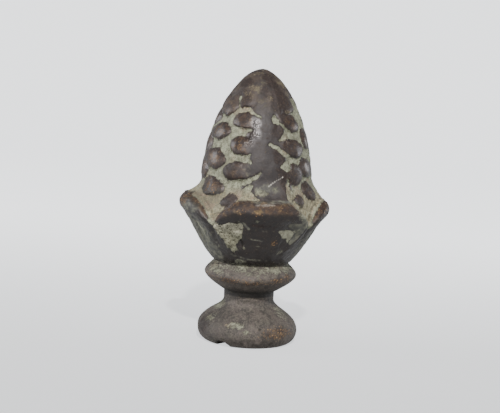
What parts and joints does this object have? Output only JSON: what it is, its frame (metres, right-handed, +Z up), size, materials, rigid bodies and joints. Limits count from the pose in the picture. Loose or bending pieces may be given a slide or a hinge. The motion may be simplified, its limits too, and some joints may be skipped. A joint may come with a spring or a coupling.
{
  "type": "furniture finial",
  "caption": "Cast furniture finial: a worn pine cone in a cup of leaves with rolled lips, over a ring, a neck and a flat-bottomed foot.",
  "frame": {"origin": "centre of the flat underside of the foot", "axes": "+Z up along the finial's axis, -Y through the middle of the front leaf, the side with the worn scales"},
  "size_m": [0.0556, 0.0556, 0.1003],
  "materials": {
    "casting": "aged: dark brown-grey patina, worn brown edges, pale green-grey deposit in the grooves"
  },
  "bodies": {
    "root": {"finial": "casting"}
  },
  "joints": []
}
